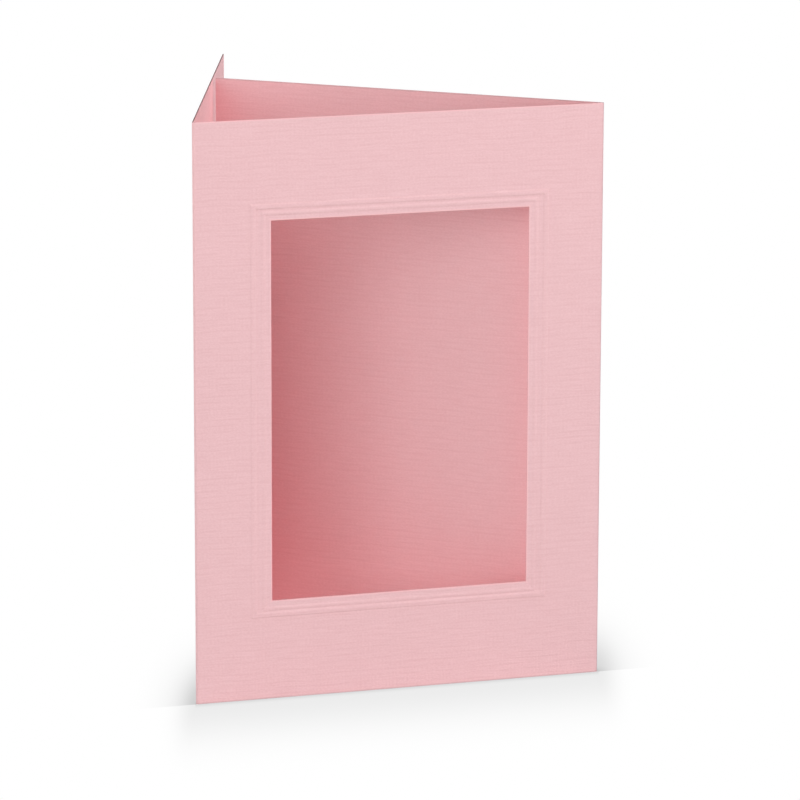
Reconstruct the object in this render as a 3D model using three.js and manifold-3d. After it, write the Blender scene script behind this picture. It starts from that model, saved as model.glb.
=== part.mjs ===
// Passe-partout card: one sheet of thin ribbed card, folded twice into a front panel with a picture
// window, a flap behind its left edge and a rear panel behind its right edge. The opened folds let
// it stand on its lower edges. Two blind-embossed frames run round the window.
// Millimetres, +Z up. The front panel faces -Y. The origin is at the centre of the standing card's
// base.

import * as THREE from "three";
import { mergeVertices } from "three/addons/utils/BufferGeometryUtils.js";
import Module from "manifold-3d";

// The sheet
const cardHeight = 148;
const sheetThickness = 0.3;
const foldRadius = 0.25; // inside a fold
const foldSegments = 16;

// The front panel, measured over both folds, and the card left round its window
const frontWidth = 106;
const leftBorder = 19.7;
const rightBorder = 19.5;
const topBorder = 25.35;
const bottomBorder = 25.5;

// The flap behind the left fold, and the rear panel behind the right one
const flapWidth = 103.5;
const flapAngle = THREE.MathUtils.degToRad(71.5); // between the flap and the front panel
const rearAngle = THREE.MathUtils.degToRad(36.1); // between the rear panel and the front panel
const edgeClearance = 0.62; // from the rear panel's free edge to the flap

// The embossed frames. The four distances run from the window's edge to the middle of the ridge.
const embossSteps = 6; // along one flank of a ridge
const innerFrame = {
  left: 1.95,
  right: 1.9,
  top: 1.8,
  bottom: 2.1,
  crest: 0.25, // the ridge's level top
  flank: 0.55, // each slope beside it
  height: 0.11,
};
const outerFrame = {
  left: 4.6,
  right: 4.4,
  top: 3.6,
  bottom: 3.6,
  crest: 0.65,
  flank: 0.5,
  height: 0.16,
};

const outerRadius = foldRadius + sheetThickness;
const foldSpan = frontWidth - 2 * outerRadius; // from one fold's centre to the other's

const window = {
  left: -frontWidth / 2 + leftBorder,
  right: frontWidth / 2 - rightBorder,
  bottom: bottomBorder,
  top: cardHeight - topBorder,
};

// A fold's centre in plan. The panel's own direction leads away from the fold, and its normal
// points out of the card.
function fold(centreX, directionAngle, normalAngle) {
  return {
    centre: new THREE.Vector2(centreX, outerRadius),
    along: new THREE.Vector2(Math.cos(directionAngle), Math.sin(directionAngle)),
    normal: new THREE.Vector2(Math.cos(normalAngle), Math.sin(normalAngle)),
    normalAngle,
  };
}

const frontNormalAngle = -Math.PI / 2;
const flapFold = fold(-foldSpan / 2, flapAngle, flapAngle - 1.5 * Math.PI);
const rearFold = fold(foldSpan / 2, Math.PI - rearAngle, Math.PI / 2 - rearAngle);

// How far each panel runs on from its fold's centre. The rear panel ends where its inner corner
// comes within the clearance of the flap's inner face.
const flapReach = flapWidth - outerRadius;
const rearReach =
  (foldSpan * Math.sin(flapAngle) +
    foldRadius * (1 - Math.cos(flapAngle + rearAngle)) -
    edgeClearance) /
  Math.sin(flapAngle + rearAngle);

// A point of a folded panel in plan, at a distance along it and at a radius from the fold's centre.
function panelPoint(panel, reach, radius) {
  return panel.centre
    .clone()
    .addScaledVector(panel.along, reach)
    .addScaledVector(panel.normal, radius);
}

// The sheet seen from above: across the flap's free edge, along the outer face to the rear panel's
// free edge, and back along the inner face.
function sheetPlan() {
  const flapOuter = panelPoint(flapFold, flapReach, outerRadius);
  const flapInner = panelPoint(flapFold, flapReach, foldRadius);
  const rearOuter = panelPoint(rearFold, rearReach, outerRadius);
  const rearInner = panelPoint(rearFold, rearReach, foldRadius);
  const left = flapFold.centre;
  const right = rearFold.centre;
  const plan = new THREE.Shape();
  plan.moveTo(flapInner.x, flapInner.y);
  plan.lineTo(flapOuter.x, flapOuter.y);
  plan.absarc(left.x, left.y, outerRadius, flapFold.normalAngle, frontNormalAngle, false);
  plan.absarc(right.x, right.y, outerRadius, frontNormalAngle, rearFold.normalAngle, false);
  plan.lineTo(rearOuter.x, rearOuter.y);
  plan.lineTo(rearInner.x, rearInner.y);
  plan.absarc(right.x, right.y, foldRadius, rearFold.normalAngle, frontNormalAngle, true);
  plan.absarc(left.x, left.y, foldRadius, frontNormalAngle, flapFold.normalAngle, true);
  plan.closePath();
  return plan;
}

function foldedSheet() {
  return new THREE.ExtrudeGeometry(sheetPlan(), {
    depth: cardHeight,
    bevelEnabled: false,
    curveSegments: foldSegments,
  });
}

// The block that cuts the window, reaching past both faces of the front panel.
function windowCutter() {
  const past = sheetThickness;
  const width = window.right - window.left;
  const height = window.top - window.bottom;
  const cutter = new THREE.BoxGeometry(width, sheetThickness + 2 * past, height);
  cutter.translate(window.left + width / 2, sheetThickness / 2, window.bottom + height / 2);
  return cutter;
}

// The cross-section of an embossed ridge as pairs of distance from its middle and rise above the
// sheet. The flanks are half cosine waves, and the section closes inside the sheet.
function ridgeSection(frame, rootDepth) {
  const half = frame.crest / 2;
  const section = [];
  for (let i = 0; i <= embossSteps; i++) {
    const turn = (Math.PI * i) / embossSteps;
    const rise = (frame.height * (1 - Math.cos(turn))) / 2;
    section.push([half + frame.flank * (1 - i / embossSteps), rise]);
  }
  const mirrored = section.map(([out, rise]) => [-out, rise]).reverse();
  const foot = half + frame.flank;
  return [...section, ...mirrored, [-foot, -rootDepth], [foot, -rootDepth]];
}

// A ridge's section carried round the window with mitred corners. It stands out towards -Y from
// the plane at faceY.
function ridgeRing(frame, faceY, rootDepth) {
  const section = ridgeSection(frame, rootDepth);
  const corners = [
    [window.left - frame.left, window.bottom - frame.bottom, -1, -1],
    [window.right + frame.right, window.bottom - frame.bottom, 1, -1],
    [window.right + frame.right, window.top + frame.top, 1, 1],
    [window.left - frame.left, window.top + frame.top, -1, 1],
  ];
  const positions = [];
  for (const [x, z, sideX, sideZ] of corners) {
    for (const [out, rise] of section) {
      positions.push(x + sideX * out, faceY - rise, z + sideZ * out);
    }
  }
  const count = section.length;
  const index = [];
  for (let corner = 0; corner < corners.length; corner++) {
    const next = (corner + 1) % corners.length;
    for (let i = 0; i < count; i++) {
      const j = (i + 1) % count;
      const a = corner * count + i;
      const b = next * count + i;
      const c = next * count + j;
      const d = corner * count + j;
      index.push(a, b, c, a, c, d);
    }
  }
  const ring = new THREE.BufferGeometry();
  ring.setAttribute("position", new THREE.Float32BufferAttribute(positions, 3));
  ring.setIndex(index);
  return ring;
}

const wasm = await Module();
wasm.setup();

function solidFrom(geometry) {
  const bare = geometry.clone();
  bare.deleteAttribute("normal");
  bare.deleteAttribute("uv");
  const merged = mergeVertices(bare, 1e-4);
  return new wasm.Manifold(
    new wasm.Mesh({
      numProp: 3,
      vertProperties: new Float32Array(merged.attributes.position.array),
      triVerts: new Uint32Array(merged.index.array),
    }),
  );
}

function geometryFrom(solid) {
  const mesh = solid.getMesh();
  const geometry = new THREE.BufferGeometry();
  geometry.setAttribute("position", new THREE.BufferAttribute(mesh.vertProperties, mesh.numProp));
  geometry.setIndex(new THREE.BufferAttribute(mesh.triVerts, 1));
  geometry.computeVertexNormals();
  return geometry;
}

// The sheet is cut, then each frame is pressed through it: a ridge on the front face and a groove
// of the same form in the back face.
function embossedCard() {
  const root = sheetThickness / 3;
  let card = solidFrom(foldedSheet()).subtract(solidFrom(windowCutter()));
  for (const frame of [innerFrame, outerFrame]) {
    card = card
      .add(solidFrom(ridgeRing(frame, 0, root)))
      .subtract(solidFrom(ridgeRing(frame, sheetThickness, root)));
  }
  return card;
}

// Puts the origin under the middle of the standing card.
function centredOnBase(geometry) {
  geometry.computeBoundingBox();
  const centre = geometry.boundingBox.getCenter(new THREE.Vector3());
  return geometry.translate(-centre.x, -centre.y, -geometry.boundingBox.min.z);
}

const paper = new THREE.MeshStandardMaterial({ color: 0xf0c4c8, roughness: 0.85, metalness: 0 });
const card = new THREE.Mesh(centredOnBase(geometryFrom(embossedCard())), paper);
card.name = "card";

const group = new THREE.Group();
group.name = "passe_partout_card";
group.add(card);

export default group;
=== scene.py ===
# Passe-partout card: one sheet of ribbed pink card folded twice, with a picture window and two
# embossed frames round it, standing on a pale studio floor.
import math
import bpy
from mathutils import Matrix, Vector


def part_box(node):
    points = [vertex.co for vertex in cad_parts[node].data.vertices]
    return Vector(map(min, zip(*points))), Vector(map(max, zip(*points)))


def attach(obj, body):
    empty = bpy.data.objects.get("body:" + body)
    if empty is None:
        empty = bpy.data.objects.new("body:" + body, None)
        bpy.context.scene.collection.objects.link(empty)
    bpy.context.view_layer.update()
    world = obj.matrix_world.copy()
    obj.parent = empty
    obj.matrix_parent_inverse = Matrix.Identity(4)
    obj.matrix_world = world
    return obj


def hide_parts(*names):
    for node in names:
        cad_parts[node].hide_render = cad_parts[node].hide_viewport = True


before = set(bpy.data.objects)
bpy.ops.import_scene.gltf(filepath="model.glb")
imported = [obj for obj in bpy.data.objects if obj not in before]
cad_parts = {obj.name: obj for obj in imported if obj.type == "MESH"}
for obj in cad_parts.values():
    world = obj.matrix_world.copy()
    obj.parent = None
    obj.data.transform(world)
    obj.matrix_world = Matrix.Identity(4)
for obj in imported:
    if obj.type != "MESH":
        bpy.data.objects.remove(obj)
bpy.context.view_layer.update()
print("frame loaded")

mm = 0.001

# Camera

cameraView = {
    "azimuth": -16.371,  # degrees, from the left of the front panel
    "elevation": 13.392,
    "roll": -0.162,
    "distance": 1222.98,  # millimetres to the point looked at
    "lens": 219.853,
    "sensor": 36.0,
    "lookAt": (-0.04, -49.08, 75.103),  # millimetres
    "nearest": 0.05,  # metres
    "farthest": 60.0,
}


def placeCamera(view):
    azimuth = math.radians(view["azimuth"])
    elevation = math.radians(view["elevation"])
    roll = math.radians(view["roll"])
    forward = Vector((
        -math.sin(azimuth) * math.cos(elevation),
        math.cos(azimuth) * math.cos(elevation),
        -math.sin(elevation),
    ))
    level = Vector((math.cos(azimuth), math.sin(azimuth), 0))
    upright = level.cross(forward)
    across = level * math.cos(roll) - upright * math.sin(roll)
    upward = level * math.sin(roll) + upright * math.cos(roll)
    turn = Matrix((across, upward, -forward)).transposed().to_4x4()
    lookAt = Vector(view["lookAt"]) * mm
    lensData = bpy.data.cameras.new("studio camera")
    lensData.lens = view["lens"]
    lensData.sensor_width = view["sensor"]
    lensData.clip_start = view["nearest"]
    lensData.clip_end = view["farthest"]
    camera = bpy.data.objects.new("studio camera", lensData)
    camera.matrix_world = Matrix.Translation(lookAt - forward * view["distance"] * mm) @ turn
    bpy.context.scene.collection.objects.link(camera)
    bpy.context.scene.camera = camera


placeCamera(cameraView)
print("camera placed")

# The sheet of card, in millimetres. Its height, the width of its front and its place come from
# the frame.

card = {
    "thickness": 0.3,
    "foldRadius": 0.25,  # inside the bend
    "foldSteps": 20,  # round each fold
    "flapWidth": 103.5,
    "flapAngle": 71.5,  # degrees between the flap and the front panel
    "rearAngle": 36.1,  # degrees between the rear panel and the front panel
    "edgeClearance": 0.62,  # from the rear panel's free edge to the flap
    "cutRounding": 0.05,  # the die rounds both edges of each cut
    "cutSteps": 3,  # along each rounded lip
    "coreSink": 0.045,  # the core is set back from the lips
    "coreStep": 0.02,  # from the end of a lip down to the core
    "flankSteps": 8,  # along one slope of a raised frame
    "guard": 0.05,  # a line this close to a bend keeps the flat beside it flat
    "gridGap": 9.0,  # the widest cell of the mesh
    "mapGap": 4.0,  # between the two faces on the flat map
    "bakeMargin": 1.0,  # round both faces on the square map
}

windowBorder = {"left": 19.7, "right": 19.5, "top": 25.35, "bottom": 25.5}

# Distances from the window's edge to the middle of each raised frame, then the width of its level
# crest, the width of the slope on each side of it, and its height.
raisedFrames = [
    {"left": 1.95, "right": 1.9, "top": 1.8, "bottom": 2.1,
     "crest": 0.25, "flank": 0.55, "height": 0.11},
    {"left": 4.6, "right": 4.4, "top": 3.6, "bottom": 3.6,
     "crest": 0.65, "flank": 0.5, "height": 0.16},
]

cardLow, cardHigh = (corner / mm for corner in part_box("card"))
cardHeight = cardHigh.z - cardLow.z
frontWidth = cardHigh.x - cardLow.x
# the higher raised frame is what reaches furthest forward
frontFace = cardLow.y + max(raised["height"] for raised in raisedFrames)
outerRadius = card["foldRadius"] + card["thickness"]
foldSpan = frontWidth - 2 * outerRadius
windowLeft = -frontWidth / 2 + windowBorder["left"]
windowRight = frontWidth / 2 - windowBorder["right"]
windowBottom = windowBorder["bottom"]
windowTop = cardHeight - windowBorder["top"]


# A direction in plan, turned from +X towards +Y.
def heading(degrees):
    return Vector((math.cos(math.radians(degrees)), math.sin(math.radians(degrees))))


# The rear panel stops short of the flap's inner face by the clearance.
def rearLength():
    flap = math.radians(card["flapAngle"])
    both = math.radians(card["flapAngle"] + card["rearAngle"])
    reach = foldSpan * math.sin(flap) + card["foldRadius"] * (1 - math.cos(both))
    return (reach - card["edgeClearance"]) / math.sin(both)


# The key lines, with lines between them wherever two are far apart.
def gridLines(keys):
    keys = sorted(keys)
    lines = [keys[0]]
    for key in keys[1:]:
        parts = max(1, math.ceil((key - lines[-1]) / card["gridGap"]))
        first = lines[-1]
        lines += [first + (key - first) * part / parts for part in range(1, parts + 1)]
    return lines


# The lines that the two slopes of a raised frame need.
def rampLines(middle, raised):
    lines = []
    for side in (-1, 1):
        for step in range(card["flankSteps"] + 1):
            away = raised["crest"] / 2 + raised["flank"] * step / card["flankSteps"]
            lines.append(middle + side * away)
        lines.append(middle + side * (raised["crest"] / 2 + raised["flank"] + card["guard"]))
    return lines


# Each raised frame's own rectangle runs along the middle of its crest.
def crestBox(raised):
    return (
        windowLeft - raised["left"],
        windowRight + raised["right"],
        windowBottom - raised["bottom"],
        windowTop + raised["top"],
    )


# Flat crest and half-cosine flanks. The larger of the two offsets gives mitred corners.
def raisedHeight(x, z):
    height = 0.0
    for raised in raisedFrames:
        left, right, bottom, top = crestBox(raised)
        offset = abs(max(left - x, x - right, bottom - z, z - top))
        away = (offset - raised["crest"] / 2) / raised["flank"]
        share = (1 + math.cos(math.pi * min(max(away, 0.0), 1.0))) / 2
        height += raised["height"] * share
    return height


# A column holds its point on the outer face, the way along the sheet, the way out of it, and how
# far along the sheet it lies from the flap's free edge. These are the columns round one fold, with
# how far along it ends.
def bendColumns(centre, facing, sweep, travelled):
    middleRadius = card["foldRadius"] + card["thickness"] / 2
    columns = []
    for step in range(1, card["foldSteps"]):
        turned = sweep * step / card["foldSteps"]
        out = heading(facing + turned)
        way = Vector((-out.y, out.x))
        columns.append((centre + out * outerRadius, way, out,
                        travelled + math.radians(turned) * middleRadius))
    return columns, travelled + math.radians(sweep) * middleRadius


# All columns from the flap's free edge to the rear panel's. The flap's are made from its fold
# outwards, so they come in reverse.
def sheetColumns():
    rounding = card["cutRounding"]
    guard = card["guard"]
    flapFacing = card["flapAngle"] - 270
    centre = Vector((-foldSpan / 2, outerRadius))
    along = heading(card["flapAngle"])
    out = heading(flapFacing)
    reach = card["flapWidth"] - outerRadius
    columns = []
    travelled = reach
    keys = [0, guard, reach - rounding - guard, reach - rounding]
    for distance in reversed(gridLines(keys)):
        point = centre + out * outerRadius + along * distance
        columns.append((point, -along, out, travelled - distance))
    foldStarts = [travelled]
    bend, travelled = bendColumns(centre, flapFacing, 180 - card["flapAngle"], travelled)
    columns += bend
    foldEnds = [travelled]
    keys = [-foldSpan / 2, -foldSpan / 2 + guard, foldSpan / 2 - guard, foldSpan / 2]
    keys += [windowLeft - rounding - guard, windowLeft - rounding]
    keys += [windowRight + rounding, windowRight + rounding + guard]
    for raised in raisedFrames:
        left, right, bottom, top = crestBox(raised)
        keys += rampLines(left, raised) + rampLines(right, raised)
    frontStart = len(columns)
    frontX = gridLines(keys)
    for x in frontX:
        distance = travelled + x + foldSpan / 2
        columns.append((Vector((x, 0)), Vector((1, 0)), Vector((0, -1)), distance))
    travelled += foldSpan
    centre = Vector((foldSpan / 2, outerRadius))
    foldStarts.append(travelled)
    bend, travelled = bendColumns(centre, -90, 180 - card["rearAngle"], travelled)
    columns += bend
    foldEnds.append(travelled)
    along = heading(180 - card["rearAngle"])
    out = heading(90 - card["rearAngle"])
    reach = rearLength()
    for distance in gridLines([0, guard, reach - rounding - guard, reach - rounding]):
        point = centre + out * outerRadius + along * distance
        columns.append((point, along, out, travelled + distance))
    travelled += reach
    folds = [(start + end) / 2 for start, end in zip(foldStarts, foldEnds)]
    return columns, frontStart, frontX, folds, travelled


def sheetRows():
    rounding = card["cutRounding"]
    guard = card["guard"]
    keys = [rounding, rounding + guard, cardHeight - rounding - guard, cardHeight - rounding]
    keys += [windowBottom - rounding - guard, windowBottom - rounding]
    keys += [windowTop + rounding, windowTop + rounding + guard]
    for raised in raisedFrames:
        left, right, bottom, top = crestBox(raised)
        keys += rampLines(bottom, raised) + rampLines(top, raised)
    return gridLines(keys)


# A cut in section: how far each point bulges from the last grid line, and how deep it lies below
# the outer face. The lips are rounded and the core between them is set back.
def cutProfile():
    rounding = card["cutRounding"]
    near = []
    for step in range(card["cutSteps"] + 1):
        turned = math.pi / 2 * step / card["cutSteps"]
        near.append((rounding * math.sin(turned), rounding * (1 - math.cos(turned))))
    near.append((rounding - card["coreSink"], rounding + card["coreStep"]))
    return near + [(bulge, card["thickness"] - depth) for bulge, depth in reversed(near)]


class Sheet:
    def __init__(self):
        self.columns, self.frontStart, self.frontX, self.folds, self.length = sheetColumns()
        # how far along the sheet the front's middle lies
        self.middle = self.columns[self.frontStart][3] - self.frontX[0]
        self.rows = sheetRows()
        self.vertices = []
        self.faces = []
        self.places = []  # where each corner lies on the flat sheet, for the grain
        self.slots = []  # 0 is the card's own face, 1 is the core of a cut
        self.rounded = []

    # depth runs from the outer face inwards, shift along the sheet, lift up the sheet
    def vertex(self, column, row, depth, shift=0.0, lift=0.0):
        point, way, out, travelled = self.columns[column]
        z = self.rows[row]
        onFront = 0 <= column - self.frontStart < len(self.frontX)
        raised = raisedHeight(self.frontX[column - self.frontStart], z) if onFront else 0.0
        at = point + way * shift + out * (raised - depth)
        self.vertices.append((at.x * mm, (at.y + frontFace) * mm, (z + lift + cardLow.z) * mm))
        return len(self.vertices) - 1

    def face(self, corners, places, slot=0, rounded=True):
        self.faces.append(corners)
        self.places.append(places)
        self.slots.append(slot)
        self.rounded.append(rounded)

    def inWindow(self, column, row):
        place = column - self.frontStart
        if not 0 <= place < len(self.frontX) - 1 or row >= len(self.rows) - 1:
            return False
        x = (self.frontX[place] + self.frontX[place + 1]) / 2
        z = (self.rows[row] + self.rows[row + 1]) / 2
        return windowLeft < x < windowRight and windowBottom < z < windowTop

    # The inner face lies above the outer one on the flat map, turned over.
    def flatPlace(self, column, row, inner, shift=0.0, lift=0.0):
        along = self.columns[column][3] + shift
        up = self.rows[row] + lift
        if inner:
            return (self.length - along, up + cardHeight + card["mapGap"])
        return (along, up)

    def skin(self, inner):
        depth = card["thickness"] if inner else 0.0
        level = 1e-8  # metres, less than this is no slope
        grid = {}
        for column in range(len(self.columns) - 1):
            for row in range(len(self.rows) - 1):
                if self.inWindow(column, row):
                    continue
                nodes = [(column, row), (column + 1, row), (column + 1, row + 1), (column, row + 1)]
                for node in nodes:
                    if node not in grid:
                        grid[node] = self.vertex(*node, depth)
                heights = [self.vertices[grid[node]][1] for node in nodes]
                onFront = 0 <= column - self.frontStart < len(self.frontX) - 1
                pieces = [nodes]
                # a cell on a mitre is split along it
                if onFront:
                    straight = abs(heights[0] - heights[2])
                    cross = abs(heights[1] - heights[3])
                    if straight > level > cross:
                        pieces = [[nodes[0], nodes[1], nodes[2]], [nodes[0], nodes[2], nodes[3]]]
                    elif cross > level > straight:
                        pieces = [[nodes[0], nodes[1], nodes[3]], [nodes[1], nodes[2], nodes[3]]]
                for piece in pieces:
                    if inner:
                        piece = piece[::-1]
                    self.face([grid[node] for node in piece],
                              [self.flatPlace(*node, inner) for node in piece])
        return grid

    # nodes run round a cut with the card on the left, each with its way out of the card
    def cutEdge(self, nodes, outer, inner):
        profile = cutProfile()
        rings = []
        for column, row, shift, lift in nodes:
            ring = [outer[column, row]]
            for bulge, depth in profile[1:-1]:
                ring.append(self.vertex(column, row, depth, shift * bulge, lift * bulge))
            ring.append(inner[column, row])
            rings.append(ring)
        widths = [0.0]
        for before, after in zip(profile, profile[1:]):
            widths.append(widths[-1] + math.dist(before, after))
        wall = card["cutSteps"]
        for at in range(len(nodes)):
            after = (at + 1) % len(nodes)
            for level in range(len(profile) - 1):
                corners = [rings[after][level], rings[at][level],
                           rings[at][level + 1], rings[after][level + 1]]
                places = []
                for which, width in ((after, widths[level]), (at, widths[level]),
                                     (at, widths[level + 1]), (after, widths[level + 1])):
                    column, row, shift, lift = nodes[which]
                    places.append(self.flatPlace(column, row, False, shift * width, lift * width))
                self.face(corners, places, int(level == wall + 1), not wall <= level <= wall + 2)

    def outerRim(self):
        lastColumn = len(self.columns) - 1
        lastRow = len(self.rows) - 1
        nodes = [(column, 0, -(column == 0), -1) for column in range(lastColumn)]
        nodes += [(lastColumn, row, 1, -(row == 0)) for row in range(lastRow)]
        nodes += [(column, lastRow, column == lastColumn, 1) for column in range(lastColumn, 0, -1)]
        nodes += [(0, row, -1, row == lastRow) for row in range(lastRow, 0, -1)]
        return nodes

    def windowRim(self):
        rounding = card["cutRounding"]
        xs = self.frontX
        left = self.frontStart + xs.index(windowLeft - rounding)
        right = self.frontStart + xs.index(windowRight + rounding)
        bottom = self.rows.index(windowBottom - rounding)
        top = self.rows.index(windowTop + rounding)
        nodes = [(left, row, 1, row == bottom) for row in range(bottom, top)]
        nodes += [(column, top, column == left, -1) for column in range(left, right)]
        nodes += [(right, row, -1, -(row == top)) for row in range(top, bottom, -1)]
        nodes += [(column, bottom, -(column == right), 1) for column in range(right, left, -1)]
        return nodes


def foldedCard():
    sheet = Sheet()
    outer = sheet.skin(False)
    inner = sheet.skin(True)
    sheet.cutEdge(sheet.outerRim(), outer, inner)
    sheet.cutEdge(sheet.windowRim(), outer, inner)
    mesh = bpy.data.meshes.new("folded_card")
    mesh.from_pydata(sheet.vertices, [], sheet.faces)
    mesh.polygons.foreach_set("use_smooth", sheet.rounded)
    mesh.polygons.foreach_set("material_index", sheet.slots)
    flat = mesh.uv_layers.new(name="flatSheet")
    figures = [figure for places in sheet.places for place in places for figure in place]
    flat.data.foreach_set("uv", [figure * mm for figure in figures])
    # the same map made to fill a square, for anything that paints the card onto an image
    bake = mesh.uv_layers.new(name="OFBake")
    side = max(sheet.length, 2 * cardHeight + card["mapGap"]) + 2 * card["bakeMargin"]
    bake.data.foreach_set("uv", [(figure + card["bakeMargin"]) / side for figure in figures])
    mesh.update()
    piece = bpy.data.objects.new("folded_card", mesh)
    bpy.context.scene.collection.objects.link(piece)
    return piece, sheet


foldedCardPiece, sheet = foldedCard()
print("card folded:", len(sheet.vertices), "vertices,", len(sheet.faces), "faces")

# Node trees


# A node tree with short ways to add nodes and join them.
class Wiring:
    def __init__(self, tree):
        self.tree = tree

    def add(self, kind, **settings):
        node = self.tree.nodes.new(kind)
        for name, value in settings.items():
            setattr(node, name, value)
        return node

    # A value is a number or colour to set, or another node's output to join.
    def feed(self, socket, value):
        if isinstance(value, bpy.types.NodeSocket):
            self.tree.links.new(value, socket)
        else:
            socket.default_value = value

    def sum(self, operation, *values):
        node = self.add("ShaderNodeMath", operation=operation)
        for socket, value in zip(node.inputs, values):
            self.feed(socket, value)
        return node.outputs["Value"]

    # How far a point lies along a direction, or that times the direction's length.
    def reach(self, x, y, direction):
        return self.sum("ADD", self.sum("MULTIPLY", x, direction[0]),
                        self.sum("MULTIPLY", y, direction[1]))

    def vector(self, x, y):
        node = self.add("ShaderNodeCombineXYZ")
        self.feed(node.inputs["X"], x)
        self.feed(node.inputs["Y"], y)
        return node.outputs["Vector"]

    # Cloudy values about 0.5, in patches as long and as high as the two sizes.
    def patches(self, x, y, length, height, detail=0.0, seed=0.0):
        across = self.sum("ADD", self.sum("DIVIDE", x, length), seed)
        upward = self.sum("DIVIDE", y, height)
        node = self.add("ShaderNodeTexNoise", noise_dimensions="2D")
        self.feed(node.inputs["Vector"], self.vector(across, upward))
        node.inputs["Scale"].default_value = 1.0
        node.inputs["Detail"].default_value = detail
        return node.outputs[0]

    # From 0 to 1, eased at both ends, while the value goes from one limit to the other.
    def ease(self, value, start, end):
        node = self.add("ShaderNodeMapRange", interpolation_type="SMOOTHSTEP")
        self.feed(node.inputs["Value"], value)
        self.feed(node.inputs["From Min"], start)
        self.feed(node.inputs["From Max"], end)
        return node.outputs["Result"]

    # From low to high while the value goes from 0 to 1, and no further.
    def span(self, value, low, high):
        node = self.add("ShaderNodeMapRange")
        self.feed(node.inputs["Value"], value)
        self.feed(node.inputs["To Min"], low)
        self.feed(node.inputs["To Max"], high)
        return node.outputs["Result"]

    def mixed(self, share, first, second, blend="MIX"):
        node = self.add("ShaderNodeMix", data_type="RGBA", blend_type=blend)
        self.feed(node.inputs["Factor"], share)
        self.feed(node.inputs["A"], first)
        self.feed(node.inputs["B"], second)
        return node.outputs["Result"]

    def group(self, tree, **values):
        node = self.add("ShaderNodeGroup", node_tree=tree)
        for name, value in values.items():
            self.feed(node.inputs[name], value)
        return node.outputs


# A shader node group. An input with no value of its own is a place, and the others are numbers.
def newGroup(name, inputs, outputs):
    tree = bpy.data.node_groups.new(name, "ShaderNodeTree")
    for socket, default in inputs.items():
        kind = "NodeSocketVector" if default is None else "NodeSocketFloat"
        made = tree.interface.new_socket(name=socket, in_out="INPUT", socket_type=kind)
        if default is not None:
            made.default_value = default
    for socket in outputs:
        tree.interface.new_socket(name=socket, in_out="OUTPUT", socket_type="NodeSocketFloat")
    wiring = Wiring(tree)
    return wiring, wiring.add("NodeGroupInput").outputs, wiring.add("NodeGroupOutput").inputs


# Where a point lies on the flat sheet, in millimetres: the same figures on both faces.
def buildSheetPlace():
    desk, given, out = newGroup("sheetPlace", {"Map": None}, ["Along", "Up", "Inner"])
    parts = desk.add("ShaderNodeSeparateXYZ")
    desk.feed(parts.inputs["Vector"], given["Map"])
    across = desk.sum("DIVIDE", parts.outputs["X"], mm)
    up = desk.sum("DIVIDE", parts.outputs["Y"], mm)
    inner = desk.sum("GREATER_THAN", up, cardHeight + card["mapGap"] / 2)
    innerLift = desk.sum("MULTIPLY", inner, cardHeight + card["mapGap"])
    desk.feed(out["Up"], desk.sum("SUBTRACT", up, innerLift))
    turnedOver = desk.sum("SUBTRACT", sheet.length, desk.sum("MULTIPLY", across, 2))
    desk.feed(out["Along"], desk.sum("MULTIPLY_ADD", inner, turnedOver, across))
    desk.feed(out["Inner"], inner)
    return desk.tree


# The linen grain. Lengths are in millimetres, and the strengths are shares of its whole depth.
linen = {
    "ribPitch": 1.5,
    "ribLength": 9.0,
    "dashLength": 5.0,
    "dashHeight": 0.47,
    "fibreLength": 0.65,
    "fibreHeight": 0.36,
    "threadPitch": 0.95,
    "drift": (11.0, 7.0),  # the patches in which ribs and threads wander
    "ribDrift": 0.6,  # how far the ribs wander up and down
    "threadDrift": 0.5,  # and the threads sideways
    "secondWave": 0.6,  # makes the ribs uneven
    "secondPhase": 1.2,
    "ribBreaks": (0.2, 0.7),  # cloud values between which a rib comes up
    "threadPatch": 1.2,
    "threadBreaks": (0.35, 0.75),
    "ribs": 0.2,
    "dashes": 0.62,
    "threads": 0.08,
    "fibres": 0.6,
    "fibreTone": 1.4,  # the fibres tell more in the tone than in the height
    "seeds": {"inner": 31.7, "dashes": 7.3, "fibres": 13.1, "threads": 3.9},
}


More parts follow.
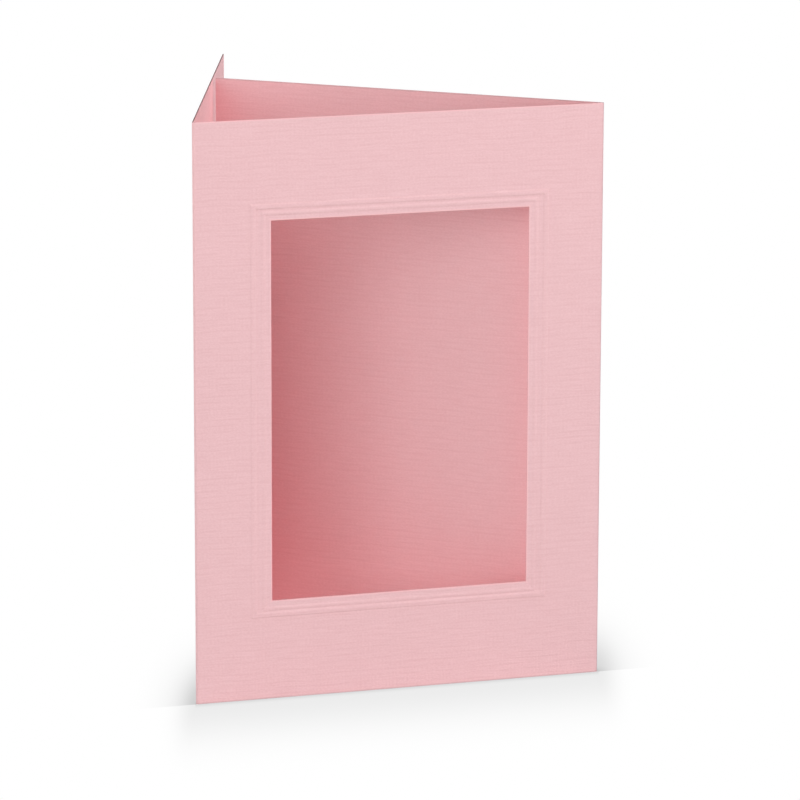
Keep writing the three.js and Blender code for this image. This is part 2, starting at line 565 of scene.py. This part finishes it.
# Ribs across the sheet that come and go, shorter dashes between them, fibres and faint threads.
def buildLinenGrain():
    desk, given, out = newGroup(
        "linenGrain",
        {"Along": 0.0, "Up": 0.0, "Side": 0.0, "Rib Pitch": linen["ribPitch"],
         "Rib Length": linen["ribLength"], "Dash Length": linen["dashLength"],
         "Dash Height": linen["dashHeight"], "Fibre Length": linen["fibreLength"],
         "Fibre Height": linen["fibreHeight"], "Thread Pitch": linen["threadPitch"]},
        ["Height", "Tone"],
    )
    seed = desk.sum("MULTIPLY", given["Side"], linen["seeds"]["inner"])
    seeds = {part: desk.sum("ADD", seed, linen["seeds"][part])
             for part in ("dashes", "fibres", "threads")}
    across = given["Along"]
    drift = desk.patches(across, given["Up"], *linen["drift"], seed=seed)
    up = desk.sum("MULTIPLY_ADD", drift, linen["ribDrift"], given["Up"])
    phase = desk.sum("DIVIDE", desk.sum("MULTIPLY", up, math.tau), given["Rib Pitch"])
    second = desk.sum("SINE", desk.sum("MULTIPLY_ADD", phase, 2.0, linen["secondPhase"]))
    ribs = desk.sum("MULTIPLY_ADD", second, linen["secondWave"], desk.sum("SINE", phase))
    breaks = desk.patches(across, up, given["Rib Length"], given["Rib Pitch"], seed=seed)
    breaks = desk.ease(breaks, *linen["ribBreaks"])
    dashes = desk.patches(across, up, given["Dash Length"], given["Dash Height"], seed=seeds["dashes"])
    fibres = desk.patches(across, up, given["Fibre Length"], given["Fibre Height"], detail=1.0,
                          seed=seeds["fibres"])
    side = desk.sum("MULTIPLY_ADD", drift, linen["threadDrift"], across)
    side = desk.sum("DIVIDE", desk.sum("MULTIPLY", side, math.tau), given["Thread Pitch"])
    threads = desk.sum("SINE", side)
    patchy = desk.patches(across, up, linen["threadPatch"], given["Dash Length"], seed=seeds["threads"])
    patchy = desk.ease(patchy, *linen["threadBreaks"])
    height = desk.sum("MULTIPLY_ADD", desk.sum("MULTIPLY", ribs, breaks), linen["ribs"], 0.5)
    height = desk.sum("MULTIPLY_ADD", desk.sum("SUBTRACT", dashes, 0.5), linen["dashes"], height)
    height = desk.sum("MULTIPLY_ADD", desk.sum("MULTIPLY", threads, patchy), linen["threads"], height)
    loose = desk.sum("SUBTRACT", fibres, 0.5)
    desk.feed(out["Height"], desk.sum("MULTIPLY_ADD", loose, linen["fibres"], height))
    desk.feed(out["Tone"], desk.sum("MULTIPLY_ADD", loose, linen["fibreTone"], height))
    return desk.tree


# A soft line along a rectangle's outline: 1 on it and 0 the reach away.
def buildOutline():
    desk, given, out = newGroup(
        "outlineMask",
        {"Along": 0.0, "Up": 0.0, "Left": 0.0, "Right": 1.0, "Bottom": 0.0, "Top": 1.0, "Reach": 1.0},
        ["Mask"],
    )
    beside = desk.sum("MAXIMUM", desk.sum("SUBTRACT", given["Left"], given["Along"]),
                      desk.sum("SUBTRACT", given["Along"], given["Right"]))
    above = desk.sum("MAXIMUM", desk.sum("SUBTRACT", given["Bottom"], given["Up"]),
                     desk.sum("SUBTRACT", given["Up"], given["Top"]))
    away = desk.sum("ABSOLUTE", desk.sum("MAXIMUM", beside, above))
    desk.feed(out["Mask"], desk.ease(desk.sum("DIVIDE", away, given["Reach"]), 1.0, 0.0))
    return desk.tree


sheetPlace = buildSheetPlace()
linenGrain = buildLinenGrain()
outlineMask = buildOutline()
print("grain and masks built")

# Pink card, through and through

pinkCard = {
    "pink": (0.9100, 0.5770, 0.5985),
    "hollow": (0.97, 0.945, 0.946),  # tint in the hollows of the grain
    "ridge": (1.03, 1.055, 1.054),  # and on its ribs
    "cloud": 0.006,  # how much the pink varies from place to place
    "cloudSize": 34.0,  # millimetres, as all sizes here
    "rubbedAndLit": (1.0, 0.615, 0.635),  # the cut lips of the front, rubbed and with a painted highlight, and the left fold's painted highlight
    "lipReach": 0.5,
    "rubAndHighlight": 0.95,
    "paintedShade": (0.70, 0.44, 0.455),  # painted shade where the lower edge meets the table
    "footShadeReach": 0.55,
    "footShadeStrength": 0.75,
    "topEdgeDarkening": 0.8,  # how much of the darker tone the top edges behind have
    "folded": (0.66, 0.41, 0.44),  # painted shade in the folds
    "creaseReach": 0.6,
    # painted fold shade and crease relief at the foot and head of the left fold, and of the right one,
    # bent further
    "creases": ((0.2, 0.0), (1.0, 0.9)),
    "leftFoldHighlight": 0.9,  # painted highlight at the head of the left fold, from nothing at its foot
    "foldPatches": (0.25, 1.6),  # the patches in which the painted fold shade and the crease relief are stronger or weaker
    "foldPatchRange": (0.7, 1.3),
    "creaseRelief": 0.5,  # share of the grain's depth
    "rough": 0.9,
    "smooth": 0.78,
    "shine": 0.12,
    "grainDepth": 0.03,
    "pressedGrain": 0.45,  # how much of the grain the die leaves on the raised frames
    "pressedPolish": 0.06,  # how much less rough it leaves them
}


# A new material with the card's grain map in it: its nodes, its shader and the place on the sheet.
def startFinish(name):
    material = bpy.data.materials.new(name)
    material.use_nodes = True
    desk = Wiring(material.node_tree)
    flatMap = desk.add("ShaderNodeUVMap", uv_map="flatSheet").outputs["UV"]
    place = desk.group(sheetPlace, Map=flatMap)
    return material, desk, material.node_tree.nodes["Principled BSDF"], place


# The height is a share of the depth, which is in millimetres.
def raiseGrain(desk, shader, height, depth):
    bump = desk.add("ShaderNodeBump")
    bump.inputs["Distance"].default_value = depth * mm
    desk.feed(bump.inputs["Height"], height)
    desk.feed(shader.inputs["Normal"], bump.outputs["Normal"])


def scaled(colour, share):
    return (*[min(part * share, 1.0) for part in colour], 1)


def makePinkCard(finish):
    material, desk, shader, place = startFinish("pinkCard")
    along, up = place["Along"], place["Up"]
    grain = desk.group(linenGrain, Along=along, Up=up, Side=place["Inner"])

    # the die that raises the frames flattens the grain on them
    pressed = 0.0
    for raised in raisedFrames:
        left, right, bottom, top = crestBox(raised)
        mask = desk.group(outlineMask, Along=along, Up=up, Left=sheet.middle + left,
                          Right=sheet.middle + right, Bottom=bottom, Top=top,
                          Reach=raised["crest"] / 2 + raised["flank"])["Mask"]
        pressed = desk.sum("MAXIMUM", pressed, mask)

    # The cut lips of the front are lighter, partly rubbed and partly a painted highlight, all but the
    # lower edge that the card stands on, which carries painted shade. The top edges of the flap and the
    # rear panel are darker.
    rim = desk.group(outlineMask, Along=along, Up=up, Left=0.0, Right=sheet.length,
                     Bottom=-cardHeight, Top=cardHeight, Reach=finish["lipReach"])["Mask"]
    fromMiddle = desk.sum("ABSOLUTE", desk.sum("SUBTRACT", along, sheet.middle))
    onBack = desk.sum("GREATER_THAN", fromMiddle, frontWidth / 2)
    rim = desk.sum("MULTIPLY", rim, desk.sum("SUBTRACT", 1.0, onBack))
    topEdge = desk.ease(up, cardHeight - finish["lipReach"], cardHeight)
    topEdge = desk.sum("MULTIPLY", topEdge, onBack)
    # painted shade along the foot of the card, where it meets the table
    paintedShade = desk.sum("MULTIPLY", desk.ease(up, finish["footShadeReach"], 0.0), finish["footShadeStrength"])
    opening = desk.group(outlineMask, Along=along, Up=up, Left=sheet.middle + windowLeft,
                         Right=sheet.middle + windowRight, Bottom=windowBottom, Top=windowTop,
                         Reach=finish["lipReach"])["Mask"]
    rubbedAndLit = desk.sum("MULTIPLY", desk.sum("MAXIMUM", rim, opening), finish["rubAndHighlight"])

    # The two folds are deeper in tone, a painted shade that is strongest down the right fold, and the
    # left fold carries a painted highlight towards its head.
    height = desk.sum("DIVIDE", up, cardHeight)
    creaseAndFoldShade = 0.0
    lines = []
    for fold, strengths in zip(sheet.folds, finish["creases"]):
        away = desk.sum("ABSOLUTE", desk.sum("SUBTRACT", along, fold))
        lines.append(desk.ease(away, finish["creaseReach"], 0.0))
        crease = desk.sum("MULTIPLY", lines[-1], desk.span(height, *strengths))
        creaseAndFoldShade = desk.sum("MAXIMUM", creaseAndFoldShade, crease)
    # a painted highlight down the left fold, strongest at its head
    leftFoldHighlight = desk.sum("MULTIPLY", lines[0], desk.span(height, 0.0, finish["leftFoldHighlight"]))
    rubbedAndLit = desk.sum("MAXIMUM", rubbedAndLit, leftFoldHighlight)
    foldPatches = desk.patches(along, up, *finish["foldPatches"], detail=2.0)
    foldShadeShare = desk.sum("MULTIPLY", creaseAndFoldShade, desk.span(foldPatches, *finish["foldPatchRange"]))

    clouds = desk.patches(along, up, finish["cloudSize"], finish["cloudSize"], detail=3.0)
    pink = desk.mixed(clouds, scaled(finish["pink"], 1 - finish["cloud"]),
                      scaled(finish["pink"], 1 + finish["cloud"]))
    tint = desk.mixed(grain["Tone"], (*finish["hollow"], 1), (*finish["ridge"], 1))
    colour = desk.mixed(1.0, pink, tint, "MULTIPLY")
    # the lips take a lighter tone, partly rubbed and partly a painted highlight
    colour = desk.mixed(rubbedAndLit, colour, (*finish["rubbedAndLit"], 1))
    # a darker tone: painted shade at the foot, and along the top edges of the flap and rear panel
    darkened = desk.sum("MULTIPLY_ADD", topEdge, finish["topEdgeDarkening"], paintedShade)
    colour = desk.mixed(darkened, colour, (*finish["paintedShade"], 1))
    # painted shade down the folds, strongest on the right one
    desk.feed(shader.inputs["Base Color"], desk.mixed(foldShadeShare, colour, (*finish["folded"], 1)))

    grainLeft = desk.span(pressed, 1.0, finish["pressedGrain"])
    relief = desk.sum("MULTIPLY", desk.sum("SUBTRACT", grain["Height"], 0.5), grainLeft)
    relief = desk.sum("MULTIPLY_ADD", desk.sum("MULTIPLY", creaseAndFoldShade, foldPatches), finish["creaseRelief"],
                      relief)
    raiseGrain(desk, shader, relief, finish["grainDepth"])
    roughness = desk.span(grain["Height"], finish["smooth"], finish["rough"])
    polish = desk.sum("MULTIPLY", pressed, finish["pressedPolish"])
    desk.feed(shader.inputs["Roughness"], desk.sum("SUBTRACT", roughness, polish))
    shader.inputs["Specular IOR Level"].default_value = finish["shine"]
    return material


# The core that shows between the lips of a cut, coloured dark

cutCore = {
    "dark": (0.055, 0.035, 0.037),
    "light": (0.17, 0.10, 0.105),
    "lightBreaks": (0.35, 0.65),  # cloud values between which dark goes over into light
    "rough": 0.95,
    "smooth": 0.85,
    "shine": 0.05,
    "fibreLength": 0.5,  # millimetres
    "fibreDepth": 0.01,
}


def makeCutCore(finish):
    material, desk, shader, place = startFinish("cutCore")
    fibres = desk.patches(place["Along"], place["Up"], finish["fibreLength"],
                          finish["fibreLength"], detail=4.0)
    light = desk.ease(fibres, *finish["lightBreaks"])
    desk.feed(shader.inputs["Base Color"],
              desk.mixed(light, (*finish["dark"], 1), (*finish["light"], 1)))
    desk.feed(shader.inputs["Roughness"], desk.span(fibres, finish["smooth"], finish["rough"]))
    raiseGrain(desk, shader, fibres, finish["fibreDepth"])
    shader.inputs["Specular IOR Level"].default_value = finish["shine"]
    return material


foldedCardPiece.data.materials.append(makePinkCard(pinkCard))
foldedCardPiece.data.materials.append(makeCutCore(cutCore))
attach(foldedCardPiece, "root")
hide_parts("card")
print("card finished")

# Floor and light

studio = {
    "floorSize": 24.0,  # metres
    "floorTone": 0.782,
    "ambient": 0.1,
    "aim": (0, 0, 0.074),  # metres
    "bounces": 12,  # light goes round many times inside the card
}

# Soft shade on the floor at the foot of the card: how dark it is there, and how far it reaches
# across the camera's view and along it, in millimetres.
floorShade = {
    "front": {"dark": 0.163, "across": 11.5, "along": 78.5},
    "behind": {"dark": 0.14, "across": 22.0, "along": 102.0},
    "walls": {"dark": 0.08, "across": 7.0, "along": 7.0},
    "contact": {"dark": 0.13, "across": 0.9, "along": 5.0},
    "fall": 2.5,
}

# Azimuths run from the front panel's own facing, to the right. Level 1 lights a white card square
# to the lamp fully. Distances and sizes are in metres.
lamps = [
    {"azimuth": 60, "elevation": 35, "distance": 1.6, "width": 1.4, "height": 1.4, "level": 0.1735},
    {"azimuth": 35, "elevation": 50, "distance": 0.55, "width": 0.4, "height": 0.4, "level": 0.059},
    {"azimuth": -35, "elevation": 20, "distance": 1.6, "width": 1.0, "height": 1.0, "level": 0.069},
    {"azimuth": -35, "elevation": 6, "distance": 1.6, "width": 1.0, "height": 1.0, "level": 0.043},
    {"azimuth": -70, "elevation": 6, "distance": 1.6, "width": 1.0, "height": 1.0, "level": 0.0515},
    {"azimuth": -60, "elevation": 35, "distance": 1.6, "width": 1.4, "height": 1.4, "level": 0.022},
    {"azimuth": -135, "elevation": 50, "distance": 1.6, "width": 1.0, "height": 1.0, "level": 0.077},
    # a low strip behind lights the two outer faces there and throws nothing over the top
    {"azimuth": 180, "elevation": 0, "distance": 1.6, "width": 1.2, "height": 0.12, "level": 0.2},
]

# Two small bounce cards lie on the floor inside the card and face up, the first one a pink offcut.
# A third one, over the rear panel, throws a narrow beam into the corner where that panel meets the
# flap. Millimetres, watts and degrees.
bounceCards = [
    {"at": (-26, -17, 0.6), "aim": (-26, -17, 100), "width": 16, "depth": 16,
     "power": 0.0009, "colour": (1.0, 0.5, 0.5), "spread": 180},
    {"at": (12, -38, 0.6), "aim": (12, -38, 100), "width": 26, "depth": 12,
     "power": 0.001, "colour": (1.0, 1.0, 1.0), "spread": 180},
    {"at": (1.6, -15.9, 160), "aim": (-33, 13, 139), "width": 8, "depth": 8,
     "power": 0.00011, "colour": (1.0, 0.8, 0.8), "spread": 34},
]


# On the floor, across the photo's view and along it.
viewWays = [heading(cameraView["azimuth"]), heading(cameraView["azimuth"] + 90)]


# Darkness round the foot of a wall: full at the wall and falling to nothing at the shade's reach.
def footShade(desk, place, wall, shade):
    start, end = (Vector([Vector(corner).dot(way) for way in viewWays]) for corner in wall)
    stretch = Vector((1 / shade["across"], 1 / shade["along"]))
    run = (end - start) * stretch
    x = desk.sum("MULTIPLY", desk.sum("SUBTRACT", place[0], start.x), stretch.x)
    y = desk.sum("MULTIPLY", desk.sum("SUBTRACT", place[1], start.y), stretch.y)
    share = desk.span(desk.reach(x, y, run / run.length_squared), 0.0, 1.0)
    x = desk.sum("SUBTRACT", x, desk.sum("MULTIPLY", share, run.x))
    y = desk.sum("SUBTRACT", y, desk.sum("MULTIPLY", share, run.y))
    away = desk.sum("SQRT", desk.reach(x, y, (x, y)))
    fall = desk.sum("POWER", desk.ease(away, 1.0, 0.0), floorShade["fall"])
    return desk.sum("MULTIPLY", fall, shade["dark"])


# 1 on the side of a wall where the inside of the card is, and 0 on the other.
def innerSide(desk, x, y, wall):
    start, end = (Vector(corner) for corner in wall)
    x = desk.sum("SUBTRACT", x, start.x)
    y = desk.sum("SUBTRACT", y, start.y)
    return desk.sum("GREATER_THAN", desk.reach(x, y, (start.y - end.y, end.x - start.x)), 0.0)


def layFloor():
    half = studio["floorSize"] / 2
    mesh = bpy.data.meshes.new("studio_floor")
    corners = [(-half, -half, 0), (half, -half, 0), (half, half, 0), (-half, half, 0)]
    mesh.from_pydata(corners, [], [(0, 1, 2, 3)])
    material = bpy.data.materials.new("studioFloor")
    material.use_nodes = True
    desk = Wiring(material.node_tree)
    shader = material.node_tree.nodes["Principled BSDF"]
    shader.inputs["Base Color"].default_value = (*[studio["floorTone"]] * 3, 1)
    shader.inputs["Roughness"].default_value = 1.0
    shader.inputs["Specular IOR Level"].default_value = 0.0

    # the foot of each panel, on its outer face
    rearStart = sheet.frontStart + len(sheet.frontX) + card["foldSteps"] - 1
    flap, rear = (
        [tuple(sheet.columns[column][0] + Vector((0, frontFace))) for column in ends]
        for ends in ((0, sheet.frontStart - card["foldSteps"]), (rearStart, -1))
    )
    front = ((-frontWidth / 2, frontFace), (frontWidth / 2, frontFace))

    parts = desk.add("ShaderNodeSeparateXYZ")
    desk.feed(parts.inputs["Vector"], desk.add("ShaderNodeTexCoord").outputs["Object"])
    x = desk.sum("DIVIDE", parts.outputs["X"], mm)
    y = desk.sum("DIVIDE", parts.outputs["Y"], mm)
    place = [desk.reach(x, y, way) for way in viewWays]
    inFront = desk.sum("ADD", footShade(desk, place, front, floorShade["front"]),
                       footShade(desk, place, front, floorShade["contact"]))
    walls = desk.sum("MAXIMUM", footShade(desk, place, flap, floorShade["walls"]),
                     footShade(desk, place, rear, floorShade["walls"]))
    further = desk.sum("ADD", footShade(desk, place, front, floorShade["behind"]), walls)
    behind = desk.sum("GREATER_THAN", y, frontFace)
    shade = desk.sum("MULTIPLY_ADD", behind, further, inFront)

    # the camera sees a white sweep with soft shade on it, and real light and shade inside the card
    inside = desk.sum("MULTIPLY", innerSide(desk, x, y, front),
                      desk.sum("MULTIPLY", innerSide(desk, x, y, rear), innerSide(desk, x, y, flap)))
    sweep = desk.add("ShaderNodeEmission")
    desk.feed(sweep.inputs["Color"], desk.sum("SUBTRACT", 1.0, shade))
    seen = desk.sum("MULTIPLY", desk.add("ShaderNodeLightPath").outputs["Is Camera Ray"],
                    desk.sum("SUBTRACT", 1.0, inside))
    surface = desk.add("ShaderNodeMixShader")
    desk.feed(surface.inputs["Fac"], seen)
    desk.feed(surface.inputs[1], shader.outputs["BSDF"])
    desk.feed(surface.inputs[2], sweep.outputs["Emission"])
    output = material.node_tree.nodes["Material Output"]
    desk.feed(output.inputs["Surface"], surface.outputs["Shader"])
    mesh.materials.append(material)
    floor = bpy.data.objects.new("studio_floor", mesh)
    bpy.context.scene.collection.objects.link(floor)


# Back points from what the light falls on towards the lamp.
def placeLight(name, at, back, width, height, power, colour=(1.0, 1.0, 1.0), spread=180):
    data = bpy.data.lights.new(name, "AREA")
    data.shape = "RECTANGLE"
    data.size = width
    data.size_y = height
    data.energy = power
    data.color = colour
    data.spread = math.radians(spread)
    light = bpy.data.objects.new(name, data)
    light.location = at
    light.rotation_mode = "QUATERNION"
    light.rotation_quaternion = back.to_track_quat("Z", "Y")
    light.visible_camera = False
    bpy.context.scene.collection.objects.link(light)


def hangLamp(number, lamp):
    azimuth = math.radians(lamp["azimuth"])
    elevation = math.radians(lamp["elevation"])
    back = Vector((math.sin(azimuth) * math.cos(elevation),
                   -math.cos(azimuth) * math.cos(elevation), math.sin(elevation)))
    at = Vector(studio["aim"]) + back * lamp["distance"]
    power = 10 * math.pi * lamp["distance"] ** 2 * lamp["level"]
    placeLight(f"lamp {number}", at, back, lamp["width"], lamp["height"], power)


def layBounceCard(number, bounce):
    at = Vector(bounce["at"]) * mm
    back = at - Vector(bounce["aim"]) * mm
    placeLight(f"bounce card {number}", at, back, bounce["width"] * mm, bounce["depth"] * mm,
               bounce["power"], bounce["colour"], bounce["spread"])


def lightRoom():
    world = bpy.data.worlds.new("studio")
    world.use_nodes = True
    desk = Wiring(world.node_tree)
    background = world.node_tree.nodes["Background"]
    background.inputs["Color"].default_value = (1, 1, 1, 1)
    seen = desk.add("ShaderNodeLightPath").outputs["Is Camera Ray"]
    desk.feed(background.inputs["Strength"], desk.span(seen, studio["ambient"], 1.0))
    bpy.context.scene.world = world
    for number, lamp in enumerate(lamps, 1):
        hangLamp(number, lamp)
    for number, bounce in enumerate(bounceCards, 1):
        layBounceCard(number, bounce)


layFloor()
lightRoom()
bpy.context.scene.cycles.diffuse_bounces = studio["bounces"]
bpy.context.scene.view_settings.view_transform = "Standard"
print("studio lit")
